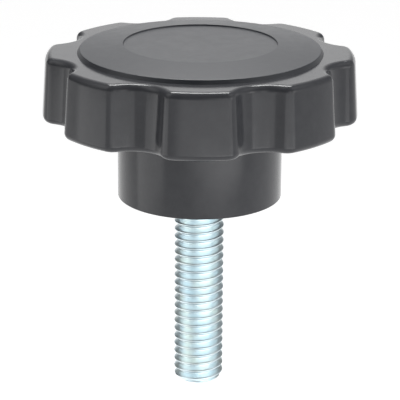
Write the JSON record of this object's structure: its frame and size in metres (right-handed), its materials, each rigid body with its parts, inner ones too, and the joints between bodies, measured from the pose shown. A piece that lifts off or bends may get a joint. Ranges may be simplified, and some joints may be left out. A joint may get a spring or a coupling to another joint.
{
  "type": "eight-lobed clamping knob with threaded stud",
  "caption": "Lobed hand knob in dark plastic with a round cap, a short round hub and a zinc plated threaded stud, for clamping by hand.",
  "frame": {"origin": "centre of the hub's seat face, where the stud leaves the hub", "axes": "+Z along the knob's axis from the stud to the cap, +X and +Y each towards the middle of a lobe"},
  "size_m": [0.0598, 0.0598, 0.068],
  "materials": {
    "body_plastic": "dark grey moulded plastic, satin",
    "cap_plastic": "dark grey moulded plastic, fine matt texture",
    "zinc_steel": "bright blue zinc plating"
  },
  "bodies": {
    "root": {"knob_body": "body_plastic", "cap": "cap_plastic", "threaded_stud": "zinc_steel"}
  },
  "joints": []
}
